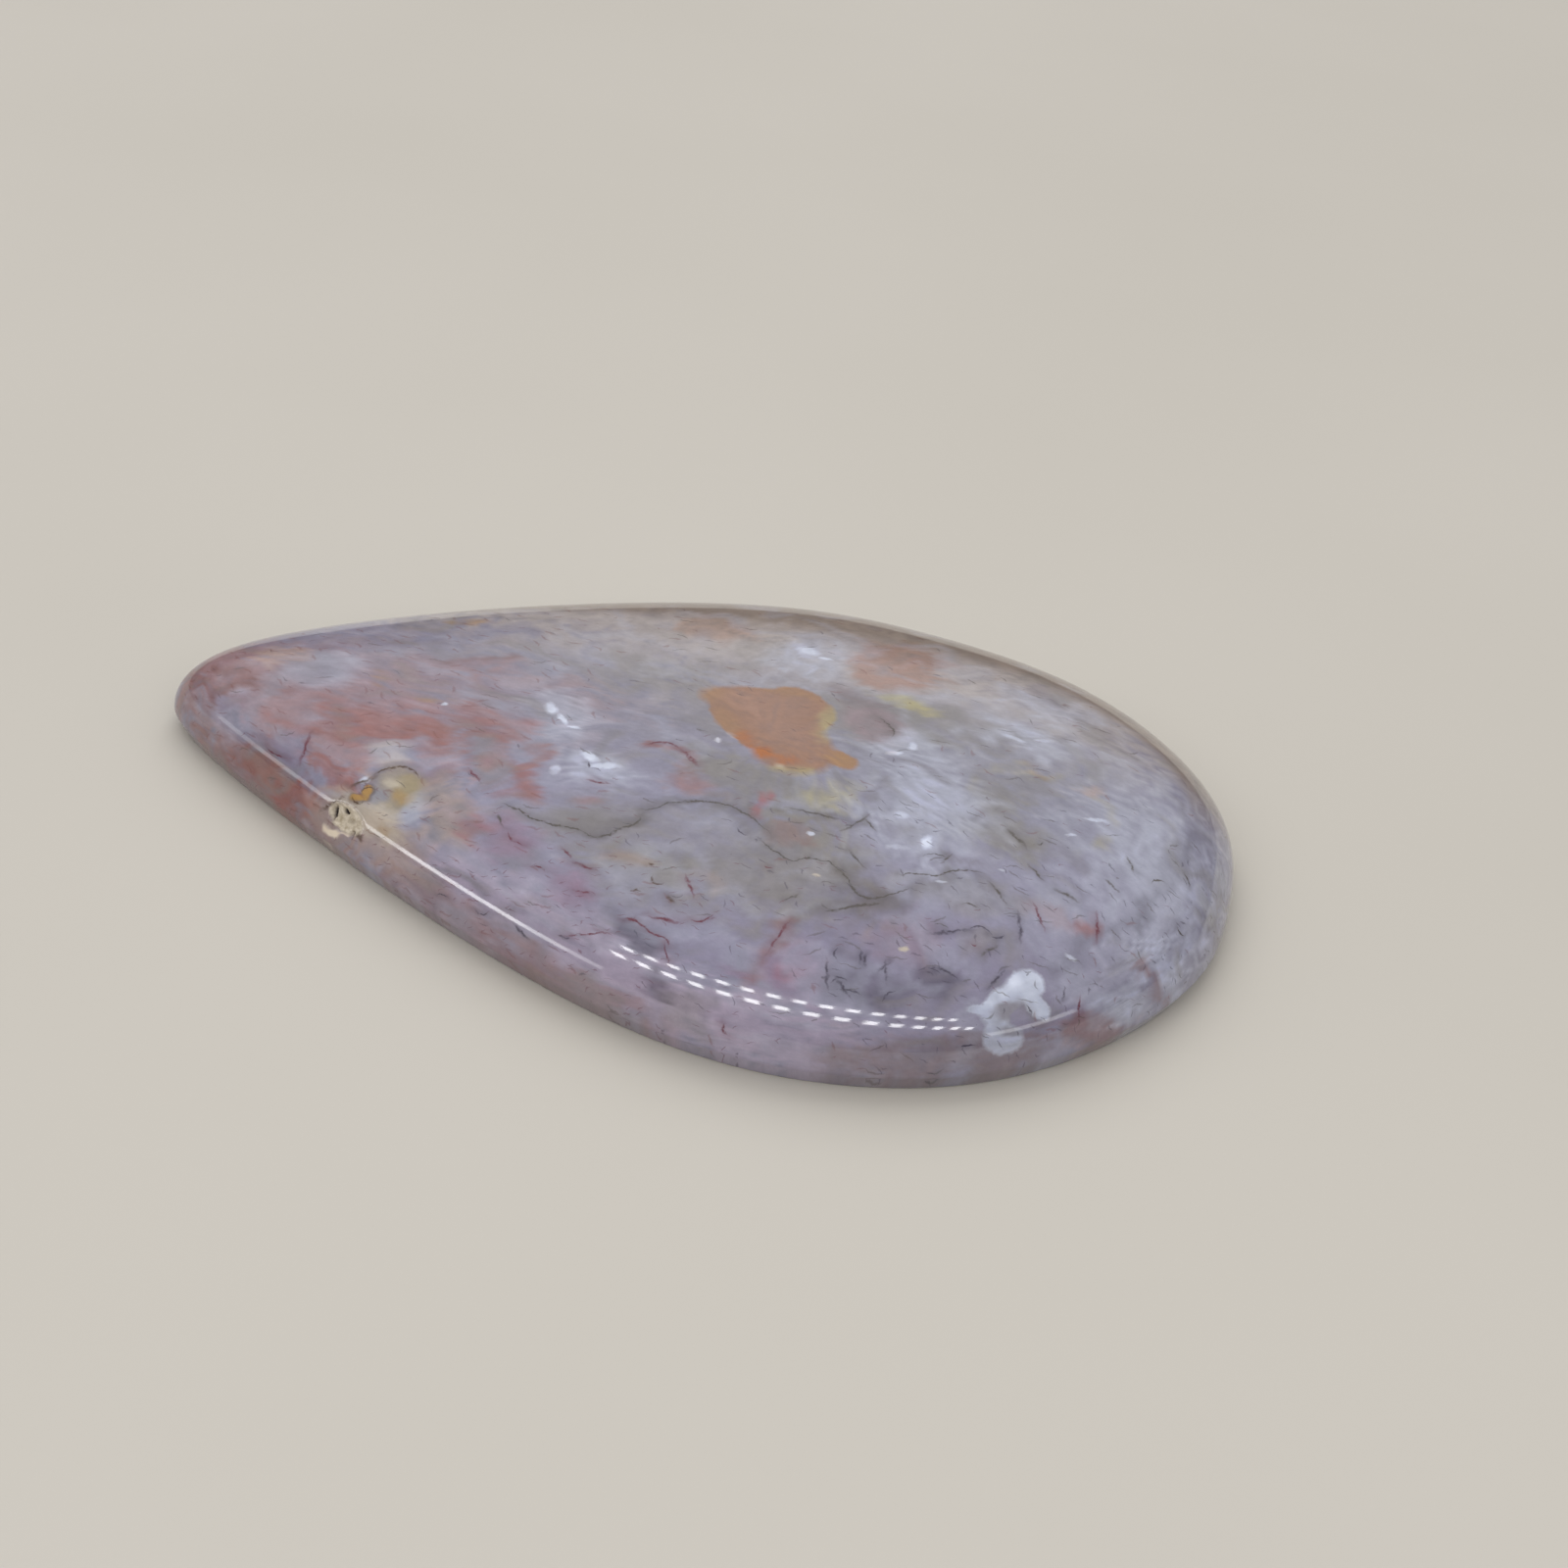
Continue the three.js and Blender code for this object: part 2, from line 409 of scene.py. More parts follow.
# Broad soft areas of colour, from the whole flank down to small hazes, painted in this order.
# Tint, middle x and y, half length, half width, turn in degrees, softness and strength.
CLOUDS = [
    ("ash", 4, 9.5, 24, 8.5, 0, 0.6, 0.85), ("ash", 3, 9, 14, 4.5, 0, 0.8, 0.5),
    ("grey", 2, 0.5, 14, 5, 0, 0.7, 0.6), ("slate", 12, 0.5, 9, 5.5, 0, 0.7, 0.5),
    ("mauve", -15.5, -1.8, 8.5, 3.8, 10, 0.8, 0.75), ("blush", -12.8, -3.9, 7, 2.2, 0, 0.9, 0.65),
    ("blush", -8, -0.6, 5, 1.6, 0, 0.9, 0.3), ("violet", 10, -12.5, 9, 3.2, 6, 0.6, 0.7),
    ("violet", 9, -10.3, 5, 2.6, 0, 0.8, 0.5), ("lilac", -2.5, -14.6, 9, 2.4, -22, 0.6, 0.7),
    ("lilac", 5, -16.6, 8, 1.7, 0, 0.6, 0.7), ("dusk", 13.5, -15.8, 5.5, 1.3, 24, 0.6, 0.8),
    ("rosewood", -17.5, -8.2, 6, 1.8, -31, 0.6, 0.8), ("rosewood", -7.5, -13.9, 5, 1, -27, 0.6, 0.6),
    ("rosewood", -1.5, -16.5, 4, 0.7, -20, 0.6, 0.5), ("rosewood", 19.8, -11.6, 2.4, 0.8, 33, 0.6, 0.7),
    ("blush", -20.5, -1.5, 3.2, 4, 0, 0.7, 0.8), ("rosewood", -22.9, -2.4, 1.6, 3, 0, 0.7, 0.5),
    ("olive", 5.6, -8.6, 3.4, 3.2, 10, 0.8, 0.8), ("olive", 5.4, -6.6, 1.8, 1, 0, 0.8, 0.7),
    ("olive", 3.4, -3.9, 3.4, 1.5, -15, 0.7, 0.8), ("olive", -2.2, -7.9, 2.8, 0.9, 12, 0.8, 0.75),
    ("olive", 12.9, -3.5, 1.7, 1.2, 0, 0.7, 0.9), ("olive", 12.6, -1.4, 1.5, 0.9, 10, 0.7, 0.8),
    ("olive", 7.6, 2.4, 3, 2, 0, 0.7, 0.7), ("olive", -2.4, 2.6, 2.6, 1.4, 10, 0.8, 0.5),
    ("olive", 12.5, -7.3, 3.4, 0.9, 5, 0.8, 0.45), ("olive", 13.6, -9.7, 1, 0.8, 0, 0.8, 0.5),
    ("olive", 23.2, -2.6, 1.3, 0.9, -10, 0.7, 0.7), ("dusk", 6, 3.4, 2, 0.7, -50, 0.8, 0.6),
    ("mauve", 6.9, 1.7, 1.3, 0.8, -20, 0.9, 0.6), ("cloud", 10, -3.2, 2.6, 3, 0, 0.8, 0.7),
    ("cloud", 13.2, 3.7, 2.3, 1, 5, 0.7, 0.7), ("cloud", 3.2, 6.6, 1.6, 2, 0, 0.8, 0.7),
    ("cloud", 8.7, 1, 1.5, 1, 0, 0.8, 0.65), ("cloud", -3, -4.7, 1.9, 0.9, -15, 0.8, 0.75),
    ("cloud", -5.3, -1.7, 1.6, 1, -35, 0.8, 0.6), ("ash", -11.2, -5.8, 1.1, 0.6, -10, 0.8, 0.7),
    ("cloud", 14, 6.8, 2.4, 1, 0, 0.8, 0.5), ("cloud", 20.5, -2.5, 4, 6.5, 0, 0.9, 0.5),
    ("cloud", 23.4, 0.1, 1, 0.8, 0, 0.8, 0.7), ("cloud", 22, -7.2, 2.2, 0.8, -8, 0.8, 0.65),
    ("cloud", 20.2, -9.8, 1.7, 0.9, 30, 0.8, 0.7), ("cloud", 2.4, -6.7, 1.9, 0.8, -20, 0.8, 0.3),
    ("grey", 0.6, -7.6, 3.8, 1.8, 0, 0.8, 0.6), ("grey", 1.2, -10, 3, 1.8, 0, 0.9, 0.8),
    ("olive", 1.3, -9.8, 2.6, 1.3, 0, 0.9, 0.75), ("cloud", -15.3, -1.2, 1.6, 1, 0, 0.9, 0.45),
    ("slate", -17.6, -3, 1.4, 0.9, -20, 0.9, 0.5), ("slate", -16.1, -1.2, 1.3, 1.1, 0, 0.8, 0.5),
    ("lavender", -19.2, -4.6, 1.8, 1.1, -20, 0.8, 0.8), ("violet", -16.2, -6, 1.5, 1, -20, 0.7, 0.6),
    ("peach", -18.1, -0.2, 1.2, 1, 0, 0.8, 0.6), ("brick", -10, 0.9, 2.4, 0.7, 5, 0.9, 0.3),
    ("brick", -7.5, -3.1, 1.6, 1.2, 0, 0.8, 0.55), ("slate", -10.5, 1.6, 5, 1.1, 5, 0.9, 0.45),
    ("slate", -8.8, -1.6, 2.6, 0.9, 0, 0.9, 0.4), ("brick", -12.4, -3.9, 2.4, 0.9, 0, 0.9, 0.35),
    ("dusk", -7.2, -4.2, 2.4, 1.1, 0, 0.9, 0.3), ("rose", -11.9, -4.4, 2.1, 0.7, -6, 0.8, 0.8),
    ("rose", -9.6, -4.9, 1.6, 0.4, -12, 0.8, 0.7), ("rose", -13.4, -5.8, 1.6, 0.9, -25, 0.8, 0.75),
    ("brick", -13.4, -7.1, 1.6, 0.6, -28, 0.8, 0.7), ("rose", -16.2, -3.9, 1.4, 0.7, 0, 0.8, 0.6),
    ("rose", -17.8, -4, 1.3, 0.6, 0, 0.8, 0.45), ("brick", -18.2, -7.1, 1.8, 1, -30, 0.7, 0.8),
    ("brick", -15.9, -8.4, 1.8, 1, -30, 0.7, 0.8), ("rose", -5.2, -4.9, 0.5, 1.2, 5, 0.9, 0.5),
    ("brick", -5.4, -6.7, 0.9, 0.6, -20, 0.8, 0.6), ("rose", -7.4, -6.1, 0.7, 0.6, -20, 0.8, 0.6),
    ("rose", -8.7, -6.6, 0.9, 0.7, 0, 0.8, 0.5), ("peach", -7.6, -8.7, 1.5, 1.6, 0, 0.8, 0.7),
    ("brick", -6.8, -9.4, 0.8, 0.6, 0, 0.9, 0.5), ("magenta", -5.4, -9.6, 1.7, 1, -20, 1, 0.5),
    ("magenta", -2, -11.5, 1.2, 0.8, -15, 1, 0.5), ("rose", 0.9, -4.6, 1.1, 0.6, 0, 0.8, 0.6),
    ("crimson", 4.05, -5.2, 0.4, 0.9, 5, 0.9, 0.5), ("brick", 5.2, -6.8, 1, 0.6, 0, 0.8, 0.3),
    ("rose", -2.7, -6.5, 0.9, 0.35, 8, 0.8, 0.5), ("rose", 10.2, -10.5, 1.4, 1.4, 0, 0.8, 0.22),
    ("magenta", 6.4, -13.8, 1.4, 1.2, 0, 0.8, 0.35), ("crimson", 6.9, -13.6, 0.4, 0.35, 0, 0.9, 0.3),
    ("rose", 16, -7.3, 1.6, 0.6, 0, 0.8, 0.35), ("brick", 17.5, -7.2, 0.45, 0.6, 15, 0.7, 0.7),
    ("peach", 3, -10.2, 0.8, 0.45, -10, 0.9, 0.3), ("ochre", -0.1, -10, 0.5, 0.35, 0, 0.8, 0.45),
    ("ochre", -10.6, -2.3, 0.5, 0.35, 0, 0.8, 0.5), ("ochre", -12.9, -1.6, 0.45, 0.3, 0, 0.8, 0.4),
    ("clay", 6.9, 7.6, 2.3, 2.4, 0, 0.35, 0.9), ("peach", -1.3, 7.6, 1.5, 1.3, 0, 0.5, 0.85),
    ("ochre", -11.3, 4.7, 0.9, 0.5, 10, 0.7, 0.6), ("straw", 7.6, 4.2, 1.2, 0.8, 0, 0.6, 0.85),
    ("straw", 6.2, -3.7, 1.2, 1.2, 0, 0.7, 0.6), ("ochre", 13.7, 1.6, 0.5, 0.3, 0, 0.8, 0.6),
    ("peach", 16.4, 0.9, 0.4, 0.6, -20, 0.8, 0.6), ("straw", 17, -2.4, 0.5, 0.3, 0, 0.8, 0.5),
]

# Colours of the vug's surroundings, painted last where the surface is cut most finely.
VUG_TINTS = [
    ("peach", -11.2, -10.3, 2.6, 1.3, -30, 0.8, 0.65), ("peach", -13.8, -9.6, 1.6, 1.3, -30, 0.8, 0.45),
    ("cream", -11.8, -9.4, 2, 0.8, -30, 0.7, 0.7), ("cream", -10.8, -8.9, 0.9, 0.5, -30, 0.8, 0.7),
    ("ochre", -10.9, -9.9, 0.35, 0.3, -30, 0.9, 0.4), ("sand", -10.3, -7.7, 1.2, 1.2, 0, 0.6, 0.65),
    ("sand", -9.95, -7.7, 0.6, 0.95, 0, 0.5, 0.9), ("gold", -10.05, -8.15, 0.5, 0.35, -20, 0.7, 0.45),
    ("cream", -10.6, -7.45, 0.36, 0.28, 0, 0.8, 0.75), ("slate", -11.3, -8.15, 0.5, 0.45, 0, 0.7, 0.7),
    ("umber", -12.3, -8.45, 0.5, 0.3, 15, 0.4, 0.6), ("umber", -11.7, -8, 0.3, 0.46, -15, 0.4, 0.6),
    ("gold", -12.28, -8.42, 0.42, 0.2, 15, 0.4, 1), ("gold", -11.75, -8, 0.2, 0.36, -15, 0.4, 1),
    ("snow", -12, -7.4, 0.18, 0.16, 0, 0.6, 0.8), ("shell", -9.5, -8.8, 0.5, 0.9, -20, 0.8, 0.55),
    ("chalk", -14.1, -10.2, 0.42, 0.22, -15, 0.5, 0.95), ("chalk", -13.3, -10.3, 0.5, 0.08, 3, 0.6, 0.7),
    ("umber", -12.35, -10.4, 0.24, 0.16, 0, 0.5, 0.85),
]

# Crisp patches: their shapes as middle x and y, half length, half width and turn, and the tints in them.
PATCH_SHAPES = [
    (2.3, 1.75, 2.6, 1.2, 0), (3.1, 0.6, 2.3, 1.5, -30), (4.1, -0.9, 1.7, 2, 30),
    (6.1, -1.1, 0.8, 0.55, -15), (3.4, 2.9, 1, 0.75, 0), (4.6, 1.6, 0.8, 1.2, 0), (2, 2.1, 1.9, 0.95, 15),
    (1.2, 0.6, 1.9, 0.75, -60), (1.9, -0.6, 1.3, 0.5, -45), (4.3, 2.6, 1.1, 0.6, -45),
    (15.5, -11.2, 0.85, 0.9, 0), (14.9, -12.4, 0.7, 1.2, -15), (14.2, -12.95, 0.6, 0.25, 15),
    (16.4, -11.9, 0.9, 0.45, -30), (15.8, -14, 0.95, 0.8, 15), (15.15, -13.3, 0.5, 0.8, 0),
]
PATCH_TINTS = [
    ("terracotta", 3.4, 0.4, 4.5, 4.2, 0, 0.2, 0.95), ("ochre", -0.3, 1.8, 1, 0.8, 0, 0.9, 0.4),
    ("ochre", 1.3, -0.3, 0.5, 1.4, 30, 0.9, 0.35), ("straw", 5.3, 1.6, 0.5, 1.6, 0, 0.9, 0.7),
    ("gold", 6.3, -1.1, 0.8, 0.6, 0, 0.9, 0.4), ("straw", 4.4, -2.8, 1.6, 0.45, 15, 0.9, 0.7),
    ("ochre", 3.2, 3.2, 1.4, 0.4, 0, 0.9, 0.3), ("clay", 2.2, 1.9, 1.7, 0.8, 0, 0.9, 0.3),
    ("clay", 3.4, 0.2, 1.6, 0.8, -30, 0.9, 0.3), ("amber", 2.9, -1.7, 0.75, 0.4, 0, 0.7, 0.95),
    ("amber", 2.2, -0.9, 0.5, 0.3, -45, 0.9, 0.6), ("amber", 4.1, -1.9, 0.5, 0.35, 0, 0.8, 0.6),
    ("cream", 3.9, -2.5, 0.3, 0.15, 0, 0.8, 0.6), ("shell", 15.3, -12.6, 3, 3.2, 0, 0.2, 0.85),
    ("snow", 15.6, -11, 0.8, 0.8, 0, 0.8, 0.7), ("snow", 14.6, -11.8, 0.4, 1.1, -20, 0.8, 0.7),
    ("snow", 16.6, -12, 0.8, 0.4, -30, 0.8, 0.5), ("grey", 15.5, -12.6, 0.72, 0.58, 10, 0.3, 0.95),
    ("grey", 15.95, -13.5, 0.5, 0.22, 15, 0.4, 0.8), ("cloud", 15.9, -14.3, 1, 0.5, 15, 0.6, 0.7),
]

# Small bright flecks: tint, middle x and y, half length, half width, turn and strength.
FLECK_ROOM = 0.3  # how far a fleck's colour reaches beyond it on the patch layer
FLECKS = [
    ("snow", -5.7, -1.5, 0.25, 0.4, 30, 0.7), ("snow", -5, -2.1, 0.4, 0.13, -40, 0.6),
    ("snow", -4.4, -2.5, 0.25, 0.1, 0, 0.5), ("snow", -3.3, -4.2, 0.45, 0.2, -30, 0.7),
    ("snow", -2.5, -4.6, 0.55, 0.2, 10, 0.7), ("snow", -4.3, -5.4, 0.18, 0.3, 0, 0.5),
    ("snow", 1.2, -1.5, 0.16, 0.14, 0, 0.8), ("snow", 9.1, -3.9, 0.3, 0.2, 0, 0.5),
    ("snow", 10.3, -5.2, 0.18, 0.42, -5, 0.75), ("snow", 9.3, -5.9, 0.4, 0.16, 10, 0.4),
    ("snow", 6, -6.3, 0.14, 0.11, 0, 0.8), ("snow", 13.3, -5.7, 0.14, 0.09, 0, 0.5),
    ("cream", 6.7, -8.6, 0.16, 0.11, 0, 0.6), ("cream", 10.55, -11.2, 0.22, 0.13, 10, 0.85),
    ("snow", 11.2, -7.3, 0.25, 0.07, 10, 0.5), ("snow", 16.5, -0.9, 0.5, 0.12, 15, 0.6),
    ("snow", 8.7, 1, 0.2, 0.34, 0, 0.6), ("snow", 8.1, 0.2, 0.34, 0.12, 30, 0.5),
    ("snow", 15.6, -2.4, 0.25, 0.08, 10, 0.5), ("snow", 3.2, 7, 0.5, 0.35, 0, 0.7),
    ("snow", 4, 6.6, 0.3, 0.12, 0, 0.5), ("snow", 16.8, -9, 0.3, 0.09, -22, 0.6),
    ("snow", -9.8, -2.5, 0.13, 0.11, 0, 0.8), ("snow", 12.6, 3.4, 0.5, 0.14, -10, 0.5),
    ("snow", 13.8, 3.8, 0.4, 0.12, 10, 0.4),
]

TURN_STEP = 15  # degrees between the turns of drawn shapes, to need few turned coordinates
HALO_REACH = 2.6  # how far the dim halo of a thread reaches, in widths of it
HALO_STRENGTH = 0.3
DASH_BOW = 0.25  # a stroke that bows less than this share of its half length is drawn straight

# Moss-like threads: each has its width and the points that it runs through, written as x + y j.
THREADS = {
    "moss": [
        (0.1, -5.8-7.8j, -5-8j, -4.3-8.35j, -3.5-8.5j, -2.6-8.6j, -1.6-8.9j),
        (0.13, -1.9-8.9j, -1.3-8.6j, -0.9-8.1j, -0.55-7.8j, -0.35-7.3j),
        (0.12, -0.6-6.9j, 0-6.65j, 0.6-6.1j, 1.3-5.8j, 2-5.6j, 2.6-5.6j, 3.3-5.9j, 4-6.3j, 4.6-6.9j),
        (0.1, 4.3-7.3j, 5-7.8j, 5.6-8.1j, 6.1-7.8j, 6.6-7.7j, 7.1-7.75j, 7.5-8j),
        (0.14, 7.3-7.8j, 7.9-8.5j, 8.3-9j, 8.8-9.15j, 9.2-9j, 9.5-8.7j, 10.2-8j),
        (0.16, 7.4-10.4j, 8-10j, 8.6-9.6j, 9.3-9.3j),
        (0.1, 9.6-7.5j, 10.2-7.2j, 11-7j, 11.4-6.6j, 11.8-6.3j, 12.7-6.2j),
        (0.1, 13-6.6j, 13.3-7j, 13.8-7.4j), (0.12, 5-5j, 6-5.1j, 7-4.9j), (0.1, 7-5.6j, 7.6-5j, 7.9-4.4j),
        (0.1, 7.8-4.6j, 8.05-4.95j, 8.3-5.2j), (0.1, 7.6-6.8j, 7.9-7.2j, 8.4-7.45j),
        (0.16, 15.5-5.9j, 15.9-5.95j, 16.35-6.1j), (0.1, 14.3-5j, 14.6-5.35j, 14.9-5.6j),
        (0.1, 17.3-4.4j, 17.6-4.55j, 17.9-4.75j), (0.14, 13.2-3.1j, 13.5-3.5j, 13.95-3.95j),
        (0.1, 14.2-3.7j, 14.5-3.5j, 14.6-3.3j), (0.1, 10.3-6.1j, 10.6-5.85j, 11.2-5.8j),
        (0.1, 11-6.2j, 11.15-5.9j, 11.3-5.6j), (0.1, 12.1-8.2j, 12.4-8.05j, 12.8-8.1j),
        (0.1, 11.35-9.6j, 11.6-9.5j, 11.9-9.6j), (0.15, 13.4-10.4j, 13.65-10.1j, 13.8-9.8j),
        (0.1, 5.9-10.3j, 6.1-10j, 6.3-9.85j), (0.14, 6.9+2.6j, 7.5+2.3j, 7.8+1.3j),
        (0.12, -5.8-8.3j, -5.7-8.6j, -5.4-8.9j), (0.12, 20.7-1.8j, 21-2j, 21.2-2.4j),
        (0.12, 19.2-3.5j, 19.5-3.15j, 19.9-3j), (0.1, 18-2.6j, 18.2-3j, 18.5-3.3j),
        (0.1, 21.2-5j, 21.5-5.2j, 21.9-5.1j),
    ],
    "soot": [
        (0.14, 11.4-10.1j, 12-9.8j, 12.6-9.4j), (0.1, 12.6-9.4j, 13-9.1j, 13.6-9.3j),
        (0.1, 13.5-9.3j, 13.8-9.35j, 14-9.1j), (0.11, 14.25-7.8j, 14.5-8.4j, 14.6-9.1j),
        (0.12, 8.25-11.9j, 8.2-12.2j, 8.35-12.5j), (0.12, 9.1-11.9j, 9.1-12.2j, 9.2-12.4j),
        (0.12, 9.3-11.9j, 9.3-12.15j, 9.4-12.4j), (0.1, 10.15-12j, 10.05-12.3j, 9.9-12.5j),
        (0.1, 10.1-12j, 10.15-12.4j, 10.25-12.9j), (0.11, 8-12.6j, 8.05-13.1j, 8.3-13.9j),
        (0.1, 8.4-13.6j, 8.6-13.3j, 8.9-13.45j), (0.12, 8.6-13.9j, 9-13.75j, 9.6-13.9j),
        (0.1, 8.5-13.4j, 8.8-13.7j, 9.2-14.1j), (0.1, 10.4-13.9j, 10.5-13.5j, 10.8-13.2j),
        (0.15, 11.5-11.85j, 12.2-11.65j, 12.95-11.95j), (0.1, 11.3-12j, 11.6-11.8j, 12.1-11.9j),
        (0.1, 14-11.8j, 14.3-11.4j, 14.4-10.8j), (0.1, 15.9-12j, 16.2-12.15j, 16.4-12.5j),
        (0.1, 17.2-10.7j, 17.3-11j, 17.4-11.1j), (0.16, -2.6-14j, -2.4-14.1j, -2.1-14j),
        (0.1, -8.5-12.9j, -8.2-12.8j, -7.9-12.9j), (0.1, -6.6-13.3j, -6.2-13.5j, -5.9-13.4j),
        (0.14, -4.6-13.7j, -4.4-14.1j, -4-14.4j), (0.1, 3.3-6.8j, 3.5-7.1j, 3.8-7.15j),
        (0.1, 14.1-15.1j, 14.4-14.85j, 14.7-14.75j), (0.08, -3.15-4.55j, -3.1-4.7j, -3.1-4.9j),
    ],
    "wine": [
        (0.13, 1.15-12.25j, 1.6-12.38j, 2.25-12.3j), (0.1, 2.7-12.15j, 3.1-12.1j, 3.5-11.7j),
        (0.12, 0.1-12.65j, 0.6-12.6j, 1-12.85j, 1.4-13.1j, 1.8-13.2j, 2.15-13.55j),
        (0.09, 2.05-13.5j, 2-14j, 2.2-14.5j), (0.16, 4.6-16.8j, 4.6-17.1j, 4.8-17.35j),
        (0.12, -2.2-10.35j, -1.8-10.35j, -1.3-10.5j), (0.12, -2-11.6j, -1.6-11.7j, -1.2-11.65j),
        (0.12, -5.2-9.2j, -4.9-9.6j, -4.3-9.75j), (0.1, -3.8-10.9j, -3.5-10.75j, -3.3-10.95j),
        (0.1, -2.8-9.6j, -2.6-9.9j, -2.4-10.1j), (0.14, -2.9-5.55j, -2.5-5.7j, -2.1-5.65j),
        (0.1, 2-10.1j, 2.35-10.45j, 2.6-10.95j), (0.16, -15-5.2j, -15.1-6j, -15.4-6.8j),
        (0.16, -1.4-2.8j, -0.6-2.4j, 0-2.6j), (0.16, 0-2.7j, 0.4-2.95j, 0.9-3.4j),
        (0.14, 17.2-6.5j, 17.5-7j, 17.6-7.7j), (0.12, 12.85-9.95j, 13-10.05j, 13.1-9.95j),
        (0.1, 14.8-7j, 15-7.5j, 15.4-8.1j), (0.1, -7.6-6.1j, -7.4-6.4j, -6.9-6.7j),
        (0.08, -2.3-14.1j, -1.4-13.7j, -0.4-13.4j), (0.08, 4.7-8.7j, 4.85-8.8j, 5.1-8.7j),
        (0.12, -17.4-6j, -16.9-6.5j, -16.1-6.7j), (0.09, 6.3-11.3j, 6-12j, 5.85-12.9j),
        (0.12, 18-10.7j, 18.3-11.1j, 18.6-11.6j),
    ],
    "umber": [
        (0.15, -14.4-9.3j, -13.8-8.85j, -13.1-8.5j), (0.15, -12.7-7.9j, -12.2-7.65j, -11.5-7.15j),
        (0.17, -11.5-7.1j, -11-6.7j, -10.5-6.5j, -9.9-6.6j, -9.5-7j),
        (0.12, -12.6-8.3j, -12.3-8.68j, -11.95-8.5j), (0.1, -11.95-8.2j, -11.7-7.75j, -11.45-8j),
        (0.16, -13.4-9.05j, -13.6-9.45j, -13.85-9.95j), (0.14, 0.9-10.3j, 1-10.65j, 1.4-10.55j),
        (0.14, 0.25-11.25j, 0.45-11.15j, 0.6-11.2j), (0.14, 1.7-11.15j, 1.8-11.3j, 1.95-11.45j),
        (0.12, 0.65-9.75j, 0.75-9.8j, 0.85-9.8j),
    ],
}

# Broad dim bands: the tint, the strength, and their widths and points like the threads'.
BANDS = [
    ("soot", 0.38, [
        (0.6, 21.5+1.2j, 20.8+0j, 20.4-1j, 20.2-2j, 19.9-3j, 19.4-4.5j, 18.9-6j),
        (0.55, 19.1-5.4j, 18.4-7j, 17.8-8.2j, 17-9j, 16.2-9.8j),
    ]),
    ("soot", 0.62, [
        (0.8, 0.3-12.8j, 0.9-13.1j, 1.6-13.3j), (0.8, 11.3-12.2j, 11.7-12.4j, 12.3-12.2j),
        (0.5, 1.8-14.8j, 1.9-15.6j, 1.8-16.4j), (1, 8.2-13.6j, 9.2-13.4j, 10.6-13.6j),
    ]),
    ("moss", 0.4, [
        (0.5, -3-8.5j, -1.4-8.3j, -0.5-7.2j), (0.6, -0.6-6.7j, 1.6-5.5j, 4-6.2j),
        (0.5, 7.4-7.8j, 8.4-9.1j, 10-8.3j), (0.6, 7.2-10.3j, 8.2-9.8j, 9.4-9.2j),
        (0.5, 10.2-7.5j, 11.2-6.9j, 12.8-6.4j), (0.4, 5-5.2j, 6.2-5.2j, 7.9-4.8j),
    ]),
    ("straw", 0.25, [
        (0.35, 11.4-0.9j, 12+0.2j, 13+1j, 13.6+1.6j, 14.7+1.9j), (0.3, 16.6+0.4j, 17.1-0.2j, 17.4-0.9j),
    ]),
    ("rosewood", 0.6, [
        (0.5, 6.4-11.2j, 6.1-11.9j, 5.85-12.6j, 5.75-13.4j, 5.7-14.5j),
        (0.5, -20.5-1.2j, -19.4-2j, -19.2-2.6j), (0.5, -19.3-2.6j, -20.4-3.2j, -21.3-4.2j, -21.8-4.9j),
        (0.4, 20.4-8j, 21.7-8.2j, 23-8.6j), (0.4, -11+0.8j, -9.6+1.2j, -8.2+1.3j),
    ]),
    ("rose", 0.7, [
        (0.9, -13.8-4.2j, -12.4-4.1j, -11.2-4.4j, -10.2-4.6j, -9-5j),
        (0.8, -17.6-4.3j, -16.4-3.5j, -15.2-3.8j), (0.8, -14.4-5.4j, -13.2-5.6j, -12.4-6.2j),
        (0.6, -14.6-6.5j, -13.4-7j, -12.3-7.6j), (0.5, -5.2-3.9j, -4.9-4.9j, -5.4-5.9j),
        (0.5, -6.2-6.2j, -5.4-6.7j, -4.7-7.3j), (0.5, -8.9-2.4j, -7.6-2.9j, -6.6-3.9j),
        (0.4, -1.4-2.8j, -0.4-2.7j, 0.8-3.3j),
    ]),
]


